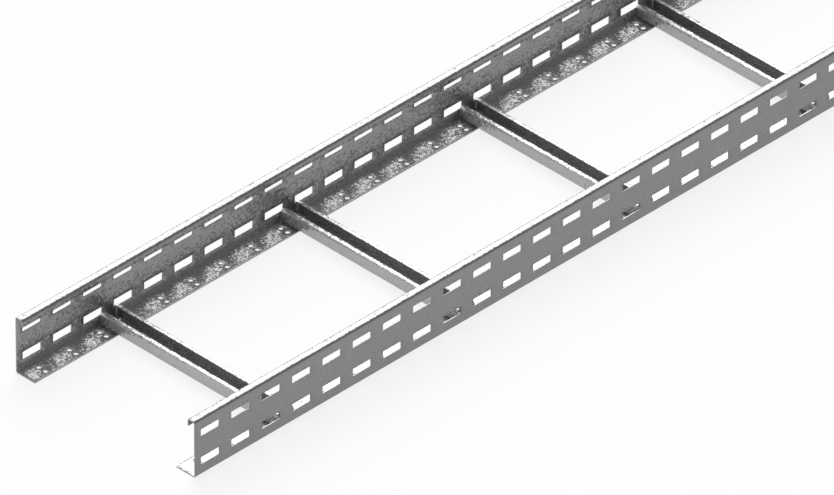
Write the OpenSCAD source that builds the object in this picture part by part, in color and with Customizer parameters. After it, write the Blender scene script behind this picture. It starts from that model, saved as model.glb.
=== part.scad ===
// Cable ladder section: two slotted side rails folded from steel sheet, and a row of channel rungs
// that stand on the rails' bottom flanges. It lies with its flanges on the floor, +X along the rails.

/* [Section] */
// Length of the ladder section
section_l = 3000; // [1200:50:3600]
// Width over the outer faces of the two side rails
section_w = 300; // [200:50:600]

/* [Side rails] */
// Height of a side rail
rail_h = 80; // [75:5:120]
// Thickness of the sheet that a side rail is folded from
rail_t = 1.5; // [1:0.1:2]
// Inner radius of a side rail's bends
rail_bend_r = 1.5; // [1:0.1:2]
// Width of the bottom flange, measured from the web's outer face
bottom_flange_w = 32; // [30:1:40]
// Width of the top flange, measured from the web's outer face
top_flange_w = 12; // [10:1:20]
// Depth of the lip that hangs from the top flange, measured from the flange's upper face
top_lip_h = 10; // [7:0.5:13]

/* [Web slots] */
// Length of a slot
slot_l = 30; // [16:1:36]
// Height of a slot
slot_h = 10; // [6:0.5:12]
// Radius of a slot's corners
slot_corner_r = 0.8; // [0.5:0.1:2]
// Distance between neighbouring slots of a row
slot_pitch = 50; // [45:1:60]
// Distance between the two rows of slots
slot_row_gap = 40; // [30:1:44]

/* [Flange holes] */
// Diameter of the round holes in the bottom flange
hole_d = 6; // [4:0.5:7]
// Distance from the web's outer face to the first row of holes
hole_inset = 13; // [10:0.5:14]
// Distance between the two rows of holes
hole_row_gap = 11; // [9:0.5:12]

/* [Rungs] */
// Number of slot pitches from one rung to the next
slots_per_rung = 6; // [4:1:8]
// Width of a rung, along the rails
rung_w = 30; // [26:1:34]
// Height of a rung
rung_h = 18; // [14:1:24]
// Width of a rung's turned-in lips
rung_lip_w = 6.5; // [5:0.5:9]
// Thickness of the sheet that a rung is folded from
rung_t = 1.5; // [1:0.1:2]
// Inner radius of a rung's bends
rung_bend_r = 1.5; // [1:0.1:2]
// Gap between a rung's end and the foot of the web's bend
rung_end_gap = 0.3; // [0.2:0.1:1]

/* [Hidden] */
bend_fn = 48;
hole_fn = 32;
corner_fn = 16;
// Cuts run past both faces of the sheet by this share of its thickness
cut_past = 0.5 * rail_t;
// Keeps a whole number of pitches whole when the division leaves it a hair short
count_slack = 0.001;

// The slots fill the rail's length, and what is left over is shared by its two ends
slot_count = floor(section_l / slot_pitch + count_slack);
pattern_l = slot_count * slot_pitch;
// The rungs stand between slots, with the same number of slots left at both ends
rung_count = floor(slot_count / slots_per_rung);
first_rung_slots = floor((slot_count - (rung_count - 1) * slots_per_rung) / 2);
rung_l = section_w - 2 * (rail_t + rail_bend_r + rung_end_gap);

function slot_x(i) = (i + 0.5) * slot_pitch - pattern_l / 2;
function rung_x(i) = (first_rung_slots + i * slots_per_rung) * slot_pitch - pattern_l / 2;
function rung_name(i) = str("rung_", i < 9 ? "0" : "", i + 1);

// Lengths of the flats between the bends of a strip, from the outer sizes of its legs
function flats(legs, outer_r) =
    [for (i = [0:len(legs) - 1]) legs[i] - outer_r * (i == 0 || i == len(legs) - 1 ? 1 : 2)];

// A quarter ring that turns a strip to the left, starting at the origin along +X
module quarter_bend(t, outer_r) {
    translate([0, outer_r]) intersection() {
        difference() {
            circle(r = outer_r, $fn = bend_fn);
            circle(r = outer_r - t, $fn = bend_fn);
        }
        translate([0, -outer_r]) square(outer_r);
    }
}

// A folded strip seen on its end: flat after flat, with a left-hand bend between them
module folded_strip(flat_lengths, t, outer_r, i = 0) {
    square([flat_lengths[i], t]);
    if (i < len(flat_lengths) - 1) translate([flat_lengths[i], 0]) {
        quarter_bend(t, outer_r);
        translate([outer_r, outer_r]) rotate(90)
            folded_strip(flat_lengths, t, outer_r, i + 1);
    }
}

// End view of a side rail, with the web's outer face on the Y axis and the flanges towards -X
module rail_section() {
    outer_r = rail_t + rail_bend_r;
    legs = [bottom_flange_w, rail_h, top_flange_w, top_lip_h];
    translate([-bottom_flange_w, 0]) folded_strip(flats(legs, outer_r), rail_t, outer_r);
}

// End view of a rung: an open-topped channel with turned-in lips, its foot on the X axis
module rung_section() {
    outer_r = rung_t + rung_bend_r;
    legs = [rung_lip_w, rung_h, rung_w, rung_h, rung_lip_w];
    translate([rung_w / 2 - rung_lip_w, rung_h]) mirror([0, 1])
        folded_strip(flats(legs, outer_r), rung_t, outer_r);
}

module slot_outline() {
    inner_l = slot_l - 2 * slot_corner_r;
    inner_h = slot_h - 2 * slot_corner_r;
    square([inner_l, slot_h], center = true);
    square([slot_l, inner_h], center = true);
    for (x = [-1, 1] * inner_l / 2, y = [-1, 1] * inner_h / 2)
        translate([x, y]) circle(r = slot_corner_r, $fn = corner_fn);
}

// Two rows of slots through a web whose outer face lies at y = 0, facing +Y
module web_slots() {
    for (i = [0:slot_count - 1], row = [-0.5, 0.5])
        translate([slot_x(i), cut_past, rail_h / 2 + row * slot_row_gap])
            rotate([90, 0, 0]) linear_extrude(rail_t + 2 * cut_past) slot_outline();
}

// Two rows of round holes through the bottom flange
module flange_holes() {
    for (i = [0:slot_count - 1], row = [0, 1])
        translate([slot_x(i), -hole_inset - row * hole_row_gap, -cut_past])
            cylinder(d = hole_d, h = rail_t + 2 * cut_past, $fn = hole_fn);
}

// The rail on the +Y side, with its flanges towards the middle of the ladder
module side_rail() {
    translate([0, section_w / 2, 0]) difference() {
        translate([-section_l / 2, 0, 0]) rotate([90, 0, 90])
            linear_extrude(section_l) rail_section();
        web_slots();
        flange_holes();
    }
}

module side_rail_left() {
    color("#86888a") side_rail();
}

module side_rail_right() {
    color("#86888a") mirror([0, 1, 0]) side_rail();
}

module rung(i) {
    color("#a6a8aa") translate([rung_x(i), rung_l / 2, rail_t])
        rotate([90, 0, 0]) linear_extrude(rung_l) rung_section();
}

side_rail_left();
side_rail_right();
for (i = [0:rung_count - 1]) rung(i);
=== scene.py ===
# Cable ladder section in zinc-coated steel: two folded, slotted side rails and their channel rungs.
import math

import bpy
import numpy as np
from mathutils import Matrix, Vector


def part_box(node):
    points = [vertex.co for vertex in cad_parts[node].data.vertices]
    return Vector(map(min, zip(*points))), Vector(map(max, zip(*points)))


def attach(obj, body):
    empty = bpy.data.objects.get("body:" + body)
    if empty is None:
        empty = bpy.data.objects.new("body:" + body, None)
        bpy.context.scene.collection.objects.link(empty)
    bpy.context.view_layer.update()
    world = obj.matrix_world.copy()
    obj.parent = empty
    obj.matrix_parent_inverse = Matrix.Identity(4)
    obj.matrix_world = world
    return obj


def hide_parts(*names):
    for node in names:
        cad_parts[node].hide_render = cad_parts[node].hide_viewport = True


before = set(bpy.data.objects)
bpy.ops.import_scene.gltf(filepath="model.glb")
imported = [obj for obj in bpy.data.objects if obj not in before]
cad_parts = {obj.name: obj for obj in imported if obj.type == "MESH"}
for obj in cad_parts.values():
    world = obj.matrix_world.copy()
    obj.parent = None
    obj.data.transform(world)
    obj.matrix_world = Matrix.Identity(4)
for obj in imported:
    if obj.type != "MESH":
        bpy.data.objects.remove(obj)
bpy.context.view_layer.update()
print("frame loaded:", len(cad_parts), "nodes")

mm = 0.001
micrometresPerMetre = 1e6
tiny = 1e-9  # metres; keeps a point on a bend line with the flat beside it
sharpFrom = 50  # degrees between two faces from which their edge is drawn sharp

# A flat sheet is made of patches: points (u, v), u along the piece and v across the strip, and quads

def plainPatch(us, vs):
    # a plain grid: every u with every v
    uu, vv = np.meshgrid(us, vs, indexing="ij")
    points = np.stack([uu.ravel(), vv.ravel()], axis=1)
    index = np.arange(len(us) * len(vs)).reshape(len(us), len(vs))
    quads = np.stack([index[:-1, :-1], index[1:, :-1], index[1:, 1:], index[:-1, 1:]], axis=-1)
    return points, quads.reshape(-1, 4)


def rectangleOutline(us, vs):
    # round the rectangle's edge from its lower left corner, anticlockwise, through every u and v line
    low, high = np.full(len(us) - 1, vs[0]), np.full(len(us) - 1, vs[-1])
    left, right = np.full(len(vs) - 1, us[0]), np.full(len(vs) - 1, us[-1])
    u = np.concatenate([us[:-1], right, us[:0:-1], left])
    v = np.concatenate([low, vs[:-1], high, vs[:0:-1]])
    return np.stack([u, v], axis=1)


def direction(degrees):
    angle = np.radians(degrees)
    return np.stack([np.cos(angle), np.sin(angle)], axis=-1)


def circleOutline(centre, radius, sideSteps):
    # centre + radius * (cos a, sin a), a quarter turn for each side of the rectangle round it
    angles = [225 + 90 * side + np.arange(steps) * 90 / steps for side, steps in enumerate(sideSteps)]
    return np.array(centre) + radius * direction(np.concatenate(angles))


def slotOutline(centre, size, corner, sideSteps):
    # a rectangle with corner arcs: half an arc, a straight run and half an arc on each side;
    # each side starts at 225 degrees, plus 90 for every side before it, and half an arc is 45 degrees
    a, b = size[0] / 2 - corner, size[1] / 2 - corner
    arcCentres = np.array(centre) + np.array([[-a, -b], [a, -b], [a, b], [-a, b]])
    sides = []
    for side, steps in enumerate(sideSteps):
        start, here, there = 225 + 90 * side, arcCentres[side], arcCentres[(side + 1) % 4]
        square = corner * direction(start + 45)
        sides.append(here + corner * direction(start + np.array([0, 22.5])))
        sides.append(np.linspace(here + square, there + square, steps - 3))
        sides.append([there + corner * direction(start + 67.5)])
    return np.concatenate(sides)


def ringPatch(us, vs, outline):
    # the flat sheet between a hole's outline and the rectangle round it
    edge = rectangleOutline(us, vs)
    n = len(edge)
    i, j = np.arange(n), (np.arange(n) + 1) % n
    return np.concatenate([edge, outline]), np.stack([i, j, j + n, i + n], axis=1)


def weld(patches):
    # joins the patches where their points agree to a micrometre
    starts = np.cumsum([0] + [len(patch[0]) for patch in patches[:-1]])
    points = np.concatenate([patch[0] for patch in patches])
    quads = np.concatenate([patch[1] + start for patch, start in zip(patches, starts)])
    rounded = np.round(points * micrometresPerMetre).astype(np.int64)
    keys, first, same = np.unique(rounded, axis=0, return_index=True, return_inverse=True)
    return points[first], same.ravel()[quads]


def thicken(points, quads, sheet, edgeRound):
    # two skins, at depth 0 and at the sheet's thickness, and round each cut edge a wall whose
    # corners are eased: (inset, depth) = (e, 0), (0, e), (0, t - e), (e, t)
    edges = np.stack([quads, np.roll(quads, -1, axis=1)], axis=-1).reshape(-1, 2)
    keys, where, counts = np.unique(np.sort(edges, axis=1), axis=0, return_index=True, return_counts=True)
    rim = edges[where[counts == 1]]
    along = points[rim[:, 1]] - points[rim[:, 0]]
    along /= np.linalg.norm(along, axis=1, keepdims=True)
    inward = np.stack([-along[:, 1], along[:, 0]], axis=1)
    total = np.zeros_like(points)
    np.add.at(total, rim[:, 0], inward)
    np.add.at(total, rim[:, 1], inward)
    onRim = np.unique(rim)
    # two unit normals that sum to s are met by s / (1 + their product), which is 2 s / |s|^2
    mitre = 2 * total[onRim] / (total[onRim] ** 2).sum(axis=1, keepdims=True)
    rank = np.full(len(points), -1)
    rank[onRim] = np.arange(len(onRim))

    n, k = len(points), len(onRim)
    skin = points.copy()
    skin[onRim] += mitre * edgeRound
    outer = np.column_stack([skin, np.zeros(n)])
    inner = np.column_stack([skin, np.full(n, sheet)])
    wallTop = np.column_stack([points[onRim], np.full(k, edgeRound)])
    wallFoot = np.column_stack([points[onRim], np.full(k, sheet - edgeRound)])
    a, b = rim[:, 0], rim[:, 1]
    rows = [(a, b), (2 * n + rank[a], 2 * n + rank[b]),
            (2 * n + k + rank[a], 2 * n + k + rank[b]), (n + a, n + b)]
    walls = [np.stack([rows[i][1], rows[i][0], rows[i + 1][0], rows[i + 1][1]], axis=1) for i in range(3)]
    faces = np.concatenate([quads, quads[:, ::-1] + n] + walls)
    cut = np.concatenate([np.zeros(2 * n), np.ones(2 * k)])
    return np.concatenate([outer, inner, wallTop, wallFoot]), faces, cut


def stripLines(legs, outerBend):
    # where each flat of the strip starts and ends, measured along its outer face
    ends = np.array([outerBend] + [2 * outerBend] * (len(legs) - 2) + [outerBend])
    flats = np.array(legs) - ends
    arc = outerBend * math.pi / 2
    starts = np.concatenate([[0], np.cumsum(flats + arc)[:-1]])
    return starts, starts + flats, arc


def paintedBendMask(v, legs, outerBend):
    # where the painted shade of a bend lies: 1 at the middle of a bend, falling to 0 at its foot as a half
    # sine
    starts, stops, arc = stripLines(legs, outerBend)
    strain = np.zeros(len(v))
    for stop in stops[:-1]:
        run = np.clip((v - stop) / arc, 0, 1)
        strain = np.maximum(strain, np.sin(math.pi * run))
    return strain


def bendLines(start, arc, steps):
    return start + arc * np.linspace(0, 1, steps + 1)


def fold(v, depth, legs, outerBend, origin, heading):
    # the strip's section: along a flat the point runs straight; in a bend it turns left about the
    # bend's centre at (outer radius - depth), by an angle of (run into the bend) / (outer radius)
    starts, stops, arc = stripLines(legs, outerBend)
    place, ahead = np.array(origin, float), np.array(heading, float)
    section = np.zeros((len(v), 2))
    for i, (start, stop) in enumerate(zip(starts, stops)):
        left = np.array([-ahead[1], ahead[0]])
        onFlat = (v >= start - tiny) & (v <= stop + tiny)
        section[onFlat] = place + np.outer(v[onFlat] - start, ahead) + np.outer(depth[onFlat], left)
        place = place + (stop - start) * ahead
        if i < len(legs) - 1:
            inBend = (v > stop + tiny) & (v < starts[i + 1] - tiny)
            angle, radius = (v[inBend] - stop) / outerBend, outerBend - depth[inBend]
            turned = np.outer(np.sin(angle), ahead) - np.outer(np.cos(angle), left)
            section[inBend] = place + outerBend * left + radius[:, None] * turned
            place, ahead = place + outerBend * (left + ahead), left
    return section


def meshPiece(name, xyz, faces, pattern, masks):
    # writes the arrays into a mesh, turned so that its faces point outwards
    triangles = xyz[faces]
    crossed = np.cross(triangles[:, 2] - triangles[:, 0], triangles[:, 3] - triangles[:, 1])
    if (crossed * triangles.mean(axis=1)).sum() < 0:
        faces = faces[:, ::-1]
    mesh = bpy.data.meshes.new(name)
    mesh.vertices.add(len(xyz))
    mesh.vertices.foreach_set("co", xyz.astype(np.float32).ravel())
    mesh.loops.add(faces.size)
    mesh.loops.foreach_set("vertex_index", faces.astype(np.int32).ravel())
    mesh.polygons.add(len(faces))
    mesh.polygons.foreach_set("loop_start", np.arange(0, faces.size, 4, dtype=np.int32))
    mesh.update(calc_edges=True)
    mesh.attributes.new("flatPattern", "FLOAT_VECTOR", "POINT").data.foreach_set(
        "vector", pattern.astype(np.float32).ravel())
    for label, mask in masks.items():
        mesh.attributes.new(label, "FLOAT", "POINT").data.foreach_set("value", mask.astype(np.float32))
    mesh.shade_smooth()
    mesh.set_sharp_from_angle(angle=math.radians(sharpFrom))
    mesh.validate()
    piece = bpy.data.objects.new(name, mesh)
    bpy.context.scene.collection.objects.link(piece)
    return piece


# What a user would change on a side rail; its length, height and flange width come from the frame
sideRail = {
    "sheet": 1.5 * mm,
    "outerBend": 3.0 * mm,
    "topFlange": 12.0 * mm,
    "lip": 10.0 * mm,
    "slotPitch": 50.0 * mm,
    "slotSize": (30.0 * mm, 10.0 * mm),
    "slotCorner": 0.8 * mm,
    "slotRowGap": 40.0 * mm,
    "holeRadius": 3.0 * mm,
    "holeInset": 13.0 * mm,
    "holeRowGap": 11.0 * mm,
    "edgeRound": 0.15 * mm,
    "bendSteps": 6,
    "patternShift": 0.7,
}

# Mesh lines each side of a slot's or a hole pair's middle, in mm: along the rail and across it
meshLines = {
    "alongHole": (1.2, 3.6, 6.0),
    "alongSlot": (13.0, 19.0),
    "acrossHole": (1.0, 3.0, 5.0),
    "acrossSlot": (3.0, 7.0, 12.0),
}


def mirrored(lines):
    # the same lines on both sides of 0, in rising order
    lines = np.array(lines)
    return np.concatenate([-lines[::-1], lines])


def ringSteps(us, vs):
    # how many steps each side of the rectangle round a hole has
    return (len(us) - 1, len(vs) - 1) * 2


def railSheet(length, legs):
    # the developed strip of a side rail, from the bottom flange's free edge to the lip's
    s = sideRail
    starts, stops, arc = stripLines(legs, s["outerBend"])
    count = round(length / s["slotPitch"])
    middles = (np.arange(count) + 0.5) * s["slotPitch"] - length / 2
    cellLines = (*meshLines["alongHole"], *meshLines["alongSlot"], s["slotPitch"] / 2 / mm)
    cellU = mirrored(cellLines) * mm
    holeV = mirrored(meshLines["acrossHole"]) * mm
    slotV = mirrored(meshLines["acrossSlot"]) * mm
    holeReach = len(meshLines["alongHole"])
    holeStart, holeStop = len(cellU) // 2 - holeReach, len(cellU) // 2 + holeReach

    flange = legs[0]
    holes = [flange - s["holeInset"] - row * s["holeRowGap"] for row in (1, 0)]
    webFoot = starts[1] - s["outerBend"]
    slots = [webFoot + legs[1] / 2 + side * s["slotRowGap"] / 2 for side in (-1, 1)]

    def cell(middle):
        us = middle + cellU
        beside = [us[:holeStart + 1], us[holeStop - 1:]]
        roundHole = us[holeStart:holeStop]
        patches = []
        for v in holes:
            vs = v + holeV
            patches += [plainPatch(side, vs) for side in beside]
            outline = circleOutline((middle, v), s["holeRadius"], ringSteps(roundHole, vs))
            patches.append(ringPatch(roundHole, vs, outline))
        for v in slots:
            vs = v + slotV
            outline = slotOutline((middle, v), s["slotSize"], s["slotCorner"], ringSteps(us, vs))
            patches.append(ringPatch(us, vs, outline))
        bands = [[0, holes[0] + holeV[0]], [holes[0] + holeV[-1], holes[1] + holeV[0]],
                 [holes[1] + holeV[-1], stops[0]], [starts[1], slots[0] + slotV[0]],
                 [slots[0] + slotV[-1], slots[1] + slotV[0]], [slots[1] + slotV[-1], stops[1]],
                 [starts[2], stops[2]], [starts[3], stops[3]]]
        bands += [bendLines(stops[i], arc, s["bendSteps"]) for i in range(3)]
        return patches + [plainPatch(us, np.array(band)) for band in bands]

    return weld([patch for middle in middles for patch in cell(middle)])


def buildSideRail(node, number):
    s = sideRail
    low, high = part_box(node)
    side = 1 if low.y > 0 else -1
    legs = [high.y - low.y, high.z - low.z, s["topFlange"], s["lip"]]
    points, quads = railSheet(high.x - low.x, legs)
    flat, faces, cut = thicken(points, quads, s["sheet"], s["edgeRound"])
    freeEdge = low.y if side > 0 else high.y
    section = fold(flat[:, 1], flat[:, 2], legs, s["outerBend"], (side * freeEdge, low.z), (1, 0))
    xyz = np.column_stack([flat[:, 0], side * section[:, 0], section[:, 1]])
    # the inner-face and bend masks place painted light on the rail's inner faces and painted shade at its
    # bends
    masks = {"cutEdge": cut, "innerFace": flat[:, 2] / s["sheet"],
             "paintedBendMask": paintedBendMask(flat[:, 1], legs, s["outerBend"])}
    pattern = flat + np.array([0, number * s["patternShift"], 0])
    return meshPiece(f"{node}_sheet", xyz, faces, pattern, masks)


# What a user would change on a rung; its width, height and length come from the frame
rung = {
    "sheet": 1.5 * mm,
    "outerBend": 3.0 * mm,
    "lip": 6.5 * mm,
    "edgeRound": 0.15 * mm,
    "bendSteps": 6,
    "lengthSteps": 24,
    "patternShift": 0.31,
}


def buildRung(node, number):
    s = rung
    low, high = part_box(node)
    width, height = high.x - low.x, high.z - low.z
    legs = [s["lip"], height, width, height, s["lip"]]
    starts, stops, arc = stripLines(legs, s["outerBend"])
    us = np.linspace(low.y, high.y, s["lengthSteps"] + 1)
    lines = [[start, stop] for start, stop in zip(starts, stops)]
    lines += [bendLines(stop, arc, s["bendSteps"]) for stop in stops[:-1]]
    points, quads = weld([plainPatch(us, np.array(line)) for line in lines])
    flat, faces, cut = thicken(points, quads, s["sheet"], s["edgeRound"])
    section = fold(flat[:, 1], flat[:, 2], legs, s["outerBend"], (low.x + s["lip"], high.z), (-1, 0))
    xyz = np.column_stack([section[:, 0], flat[:, 0], section[:, 1]])
    # on a rung the painted shade of the bends lies only on the inner face, where it dims the reflection in
    # the hollow of each bend
    inner = flat[:, 2] / s["sheet"]
    masks = {"cutEdge": cut, "innerFace": inner,
             "paintedBendMask": inner * paintedBendMask(flat[:, 1], legs, s["outerBend"])}
    pattern = flat + np.array([0, number * s["patternShift"], 0])
    return meshPiece(f"{node}_sheet", xyz, faces, pattern, masks)


def addNode(tree, kind, place, inputs=None, **settings):
    node = tree.nodes.new(kind)
    node.location = place
    for key, value in settings.items():
        setattr(node, key, value)
    for key, value in (inputs or {}).items():
        node.inputs[key].default_value = value
    return node


def newGroup(name, inputs, outputs):
    # a shader node group with named sockets; inputs and outputs are lists of (name, kind)
    tree = bpy.data.node_groups.new(name, "ShaderNodeTree")
    for label, kind in inputs:
        tree.interface.new_socket(label, in_out="INPUT", socket_type=kind)
    for label, kind in outputs:
        tree.interface.new_socket(label, in_out="OUTPUT", socket_type=kind)
    given = addNode(tree, "NodeGroupInput", (-900, 0))
    out = addNode(tree, "NodeGroupOutput", (900, 0))
    return tree, given, out


def zincCrystals():
    # small zinc crystals: each has its own shade and is tilted a little by its own random lean
    tree, given, out = newGroup(
        "zincCrystals",
        [("Vector", "NodeSocketVector"), ("Size", "NodeSocketFloat"), ("Tilt", "NodeSocketFloat")],
        [("Shade", "NodeSocketFloat"), ("Normal", "NodeSocketVector")])
    link = tree.links.new
    density = addNode(tree, "ShaderNodeMath", (-700, 0), {0: 1.0}, operation="DIVIDE")
    cells = addNode(tree, "ShaderNodeTexVoronoi", (-500, 0), {"Randomness": 1.0})
    shade = addNode(tree, "ShaderNodeSeparateXYZ", (-250, 150))
    lean = addNode(tree, "ShaderNodeVectorMath", (-250, -50), {1: (0.5, 0.5, 0.5)}, operation="SUBTRACT")
    leanBy = addNode(tree, "ShaderNodeVectorMath", (0, -50), operation="SCALE")
    surface = addNode(tree, "ShaderNodeNewGeometry", (0, -250))
    leant = addNode(tree, "ShaderNodeVectorMath", (250, -100), operation="ADD")
    unit = addNode(tree, "ShaderNodeVectorMath", (500, -100), operation="NORMALIZE")
    link(given.outputs["Size"], density.inputs[1])
    link(given.outputs["Vector"], cells.inputs["Vector"])
    link(density.outputs[0], cells.inputs["Scale"])
    link(cells.outputs["Color"], shade.inputs[0])
    link(cells.outputs["Color"], lean.inputs[0])
    link(lean.outputs[0], leanBy.inputs[0])
    link(given.outputs["Tilt"], leanBy.inputs["Scale"])
    link(leanBy.outputs[0], leant.inputs[0])
    link(surface.outputs["Normal"], leant.inputs[1])
    link(leant.outputs[0], unit.inputs[0])
    link(shade.outputs["Z"], out.inputs["Shade"])
    link(unit.outputs[0], out.inputs["Normal"])
    return tree


def zincMottle():
    # cloudy patches and fine grain of a dull zinc coat, both from 0 to 1 about a middle of 0.5
    tree, given, out = newGroup(
        "zincMottle",
        [("Vector", "NodeSocketVector"), ("Cloud Size", "NodeSocketFloat"),
         ("Grain Size", "NodeSocketFloat")],
        [("Cloud", "NodeSocketFloat"), ("Grain", "NodeSocketFloat")])
    link = tree.links.new
    kinds = [("Cloud Size", 3.0, "Cloud"), ("Grain Size", 1.0, "Grain")]  # size, noise detail, output
    for row, (size, detail, label) in enumerate(kinds):
        density = addNode(tree, "ShaderNodeMath", (-600, -300 * row), {0: 1.0}, operation="DIVIDE")
        noise = addNode(tree, "ShaderNodeTexNoise", (-300, -300 * row),
                        {"Detail": detail, "Roughness": 0.6})
        link(given.outputs[size], density.inputs[1])
        link(given.outputs["Vector"], noise.inputs["Vector"])
        link(density.outputs[0], noise.inputs["Scale"])
        link(noise.outputs["Fac"], out.inputs[label])
    return tree


crystalGroup = zincCrystals()
mottleGroup = zincMottle()

# What a user would change in the zinc finish of each kind of piece: shades are shares of the colour,
# the bend and inner-face factors multiply it as painted shade at the bends, and as painted light where above
# 1 and painted shade where below 1 on the inner faces, and tilts are the most that a crystal leans to either
# side
railFinish = {
    "colour": (0.255, 0.259, 0.263),
    "edgeColour": (0.34, 0.34, 0.335),
    # painted shade at the rail's bends
    "paintedBendShade": 0.36,
    # painted light on the rail's inner faces
    "paintedInnerLightAndShade": 1.18,
    "metallic": 0.7,
    "roughness": 0.32,
    "roughnessSpread": 0.05,
    "crystalSize": 2.4 * mm,
    "crystalShade": 0.04,
    "crystalTilt": 0.34,
    "edgeTilt": 0.1,
    "cloudSize": 30.0 * mm,
    "cloudShade": 0.06,
    "grainSize": 1.2 * mm,
    "grainShade": 0.05,
    "grainDepth": 0.02 * mm,
}
rungFinish = {
    **railFinish,
    "colour": (0.455, 0.459, 0.463),
    "edgeColour": (0.49, 0.49, 0.485),
    # painted shade on the inside of the rung's bends
    "paintedBendShade": 0.4,
    # painted shade on the inner faces inside the rung's channel
    "paintedInnerLightAndShade": 0.82,
    "crystalTilt": 0.4,
    "crystalShade": 0.06,
}


# sockets of a colour Mix node, which has one set for each kind of data
mixA, mixB, mixResult = 6, 7, 2


def between(tree, value, low, high, place):
    # low where value is 0, high where it is 1
    node = addNode(tree, "ShaderNodeMapRange", place, {"To Min": low, "To Max": high})
    tree.links.new(value, node.inputs["Value"])
    return node.outputs["Result"]


def product(tree, a, b, place):
    node = addNode(tree, "ShaderNodeMath", place, operation="MULTIPLY")
    tree.links.new(a, node.inputs[0])
    tree.links.new(b, node.inputs[1])
    return node.outputs[0]


def variation(tree, shades):
    # 1 + the sum of amount * (2 * value - 1) over the (value, amount) pairs
    total = None
    for row, (value, amount) in enumerate(shades):
        node = addNode(tree, "ShaderNodeMath", (-900, 300 - 200 * row), operation="MULTIPLY_ADD")
        node.inputs[1].default_value = 2 * amount
        node.inputs[2].default_value = 1 - sum(amount for value, amount in shades)
        tree.links.new(value, node.inputs[0])
        if total:
            tree.links.new(total, node.inputs[2])
        total = node.outputs[0]
    return total


def zincSteel(name, finish):
    # colour = coat colour * variation * painted shade of the bend * painted light and shade of the inner
    # face, and another colour on the sheared edges; the crystals' lean and the grain go into the normal
    material = bpy.data.materials.new(name)
    material.use_nodes = True
    tree = material.node_tree
    link = tree.links.new
    shader = tree.nodes["Principled BSDF"]
    shader.inputs["Metallic"].default_value = finish["metallic"]
    where = addNode(tree, "ShaderNodeAttribute", (-1600, 0), attribute_name="flatPattern")
    masks = [addNode(tree, "ShaderNodeAttribute", (-1600, 300 + 200 * row), attribute_name=label)
             for row, label in enumerate(["cutEdge", "paintedBendMask", "innerFace"])]
    edge, bend, inside = (mask.outputs["Fac"] for mask in masks)

    crystals = addNode(tree, "ShaderNodeGroup", (-1350, -200), node_tree=crystalGroup)
    crystals.inputs["Size"].default_value = finish["crystalSize"]
    link(where.outputs["Vector"], crystals.inputs["Vector"])
    tilt = between(tree, edge, finish["crystalTilt"], finish["edgeTilt"], (-1600, -300))
    link(tilt, crystals.inputs["Tilt"])
    mottle = addNode(tree, "ShaderNodeGroup", (-1350, 200), node_tree=mottleGroup)
    mottle.inputs["Cloud Size"].default_value = finish["cloudSize"]
    mottle.inputs["Grain Size"].default_value = finish["grainSize"]
    link(where.outputs["Vector"], mottle.inputs["Vector"])

    varied = variation(tree, [(crystals.outputs["Shade"], finish["crystalShade"]),
                              (mottle.outputs["Cloud"], finish["cloudShade"]),
                              (mottle.outputs["Grain"], finish["grainShade"])])
    # painted shade at the bends, and painted light and shade on the inner faces, multiply the coat colour
    paintedBendFactor = between(tree, bend, 1.0, finish["paintedBendShade"], (-1100, 600))
    side = between(tree, inside, 1.0, finish["paintedInnerLightAndShade"], (-1100, 900))
    paintedLightAndShade = product(tree, paintedBendFactor, side, (-850, 700))
    shaded = product(tree, varied, paintedLightAndShade, (-600, 300))
    coat = addNode(tree, "ShaderNodeVectorMath", (-400, 300), {0: finish["colour"]}, operation="SCALE")
    link(shaded, coat.inputs["Scale"])
    colour = addNode(tree, "ShaderNodeMix", (-200, 300), data_type="RGBA")
    colour.inputs[mixB].default_value = (*finish["edgeColour"], 1)
    link(edge, colour.inputs["Factor"])
    link(coat.outputs[0], colour.inputs[mixA])
    link(colour.outputs[mixResult], shader.inputs["Base Color"])

    smoothest = finish["roughness"] - finish["roughnessSpread"]
    roughest = finish["roughness"] + finish["roughnessSpread"]
    rough = between(tree, crystals.outputs["Shade"], smoothest, roughest, (-600, 0))
    link(rough, shader.inputs["Roughness"])
    bump = addNode(tree, "ShaderNodeBump", (-400, -300), {"Strength": 1.0, "Distance": finish["grainDepth"]})
    link(mottle.outputs["Grain"], bump.inputs["Height"])
    link(crystals.outputs["Normal"], bump.inputs["Normal"])
    link(bump.outputs["Normal"], shader.inputs["Normal"])
    return material


# What a user would change on the stage: a pale floor, an even white sky and one broad soft lamp
stageSet = {
    "floorColour": (0.86, 0.86, 0.86),
    "floorGlow": 0.82,
    "floorReach": 60.0,
    "worldStrength": 0.5,
    "keyFrom": (1.0, 1.0, 1.25),
    "keyStrength": 2.9,
    "keyAngle": 54.0,
}


def seenDirectly(tree):
    # 1 for what the camera sees straight on, in a mirroring face or through glass, otherwise 0
    path = addNode(tree, "ShaderNodeLightPath", (-800, 300))
    mirrored = addNode(tree, "ShaderNodeMath", (-600, 300), operation="MAXIMUM")
    seen = addNode(tree, "ShaderNodeMath", (-400, 300), operation="MAXIMUM")
    tree.links.new(path.outputs["Is Glossy Ray"], mirrored.inputs[0])
    tree.links.new(path.outputs["Is Transmission Ray"], mirrored.inputs[1])
    tree.links.new(path.outputs["Is Camera Ray"], seen.inputs[0])
    tree.links.new(mirrored.outputs[0], seen.inputs[1])
    return seen.outputs[0]


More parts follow.
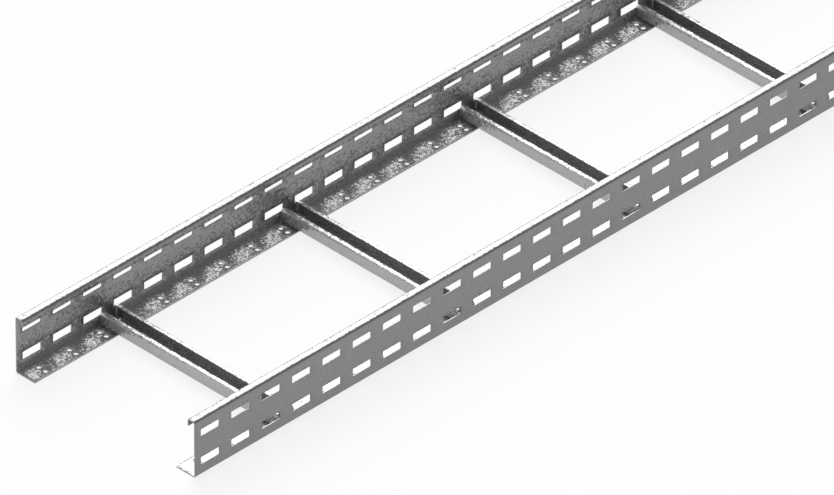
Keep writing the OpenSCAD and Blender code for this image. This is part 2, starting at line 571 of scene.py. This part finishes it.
def floorMaterial():
    # a pale floor that keeps its shadows; seen directly or in metal, part of it is plain white
    material = bpy.data.materials.new("paleFloor")
    material.use_nodes = True
    tree = material.node_tree
    tree.nodes.remove(tree.nodes["Principled BSDF"])
    link = tree.links.new
    out = tree.nodes["Material Output"]
    matt = addNode(tree, "ShaderNodeBsdfDiffuse", (0, 100), {"Color": (*stageSet["floorColour"], 1)})
    white = addNode(tree, "ShaderNodeEmission", (0, -50), {"Strength": 1.0})
    share = addNode(tree, "ShaderNodeMath", (-100, 300), {1: stageSet["floorGlow"]}, operation="MULTIPLY")
    mix = addNode(tree, "ShaderNodeMixShader", (200, 0))
    link(seenDirectly(tree), share.inputs[0])
    link(share.outputs[0], mix.inputs["Fac"])
    link(matt.outputs[0], mix.inputs[1])
    link(white.outputs[0], mix.inputs[2])
    link(mix.outputs[0], out.inputs["Surface"])
    return material


def buildStage():
    reach = stageSet["floorReach"]
    mesh = bpy.data.meshes.new("floor")
    corners = [(-reach, -reach, 0), (reach, -reach, 0), (reach, reach, 0), (-reach, reach, 0)]
    mesh.from_pydata(corners, [], [(0, 1, 2, 3)])
    floor = bpy.data.objects.new("floor", mesh)
    bpy.context.scene.collection.objects.link(floor)
    floor.data.materials.append(floorMaterial())

    # the sky lights the piece at its own strength and is plain white where it is seen or mirrored
    world = bpy.data.worlds.new("softWorld")
    world.use_nodes = True
    sky = world.node_tree
    backdrop = sky.nodes["Background"]
    backdrop.inputs["Color"].default_value = (1, 1, 1, 1)
    strength = between(sky, seenDirectly(sky), stageSet["worldStrength"], 1.0, (-200, 0))
    sky.links.new(strength, backdrop.inputs["Strength"])
    bpy.context.scene.world = world

    light = bpy.data.lights.new("key", "SUN")
    light.energy = stageSet["keyStrength"]
    light.angle = math.radians(stageSet["keyAngle"])
    key = bpy.data.objects.new("key", light)
    key.rotation_mode = "QUATERNION"
    key.rotation_quaternion = Vector(stageSet["keyFrom"]).to_track_quat("Z", "Y")
    bpy.context.scene.collection.objects.link(key)


# A long lens far off: lengths along X, Y and Z keep nearly one scale across the view
cameraSet = {
    "towards": (0.57685, 0.57735, -0.57786),
    "lookAt": (-0.9873, -0.00334, 0.0),
    "pictureWidth": 0.9869,
    "lens": 1020.0,
    "sensor": 36.0,
    "clip": (0.1, 3.0),  # nearest and farthest seen, as shares of the distance
}


def buildCamera():
    data = bpy.data.cameras.new("camera")
    data.lens = cameraSet["lens"]
    data.sensor_width = cameraSet["sensor"]
    distance = cameraSet["pictureWidth"] * cameraSet["lens"] / cameraSet["sensor"]
    data.clip_start, data.clip_end = (share * distance for share in cameraSet["clip"])
    camera = bpy.data.objects.new("camera", data)
    towards = Vector(cameraSet["towards"]).normalized()
    camera.location = Vector(cameraSet["lookAt"]) - towards * distance
    camera.rotation_mode = "QUATERNION"
    camera.rotation_quaternion = towards.to_track_quat("-Z", "Y")
    bpy.context.scene.collection.objects.link(camera)
    bpy.context.scene.camera = camera


railNodes = sorted(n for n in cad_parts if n.startswith("side_rail"))
rungNodes = sorted(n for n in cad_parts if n.startswith("rung"))
railSteel = zincSteel("railZinc", railFinish)
rungSteel = zincSteel("rungZinc", rungFinish)
for number, node in enumerate(railNodes + rungNodes):
    if node in railNodes:
        piece, steel, slot = buildSideRail(node, number), railSteel, "rail_steel"
    else:
        piece, steel, slot = buildRung(node, number), rungSteel, "rung_steel"
    piece.data.materials.append(steel)
    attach(piece, "root")
    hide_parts(node)
    print(piece.name, "faces:", len(piece.data.polygons))

buildStage()
buildCamera()
bpy.context.scene.view_settings.view_transform = "Standard"
print("stage, light and camera set")
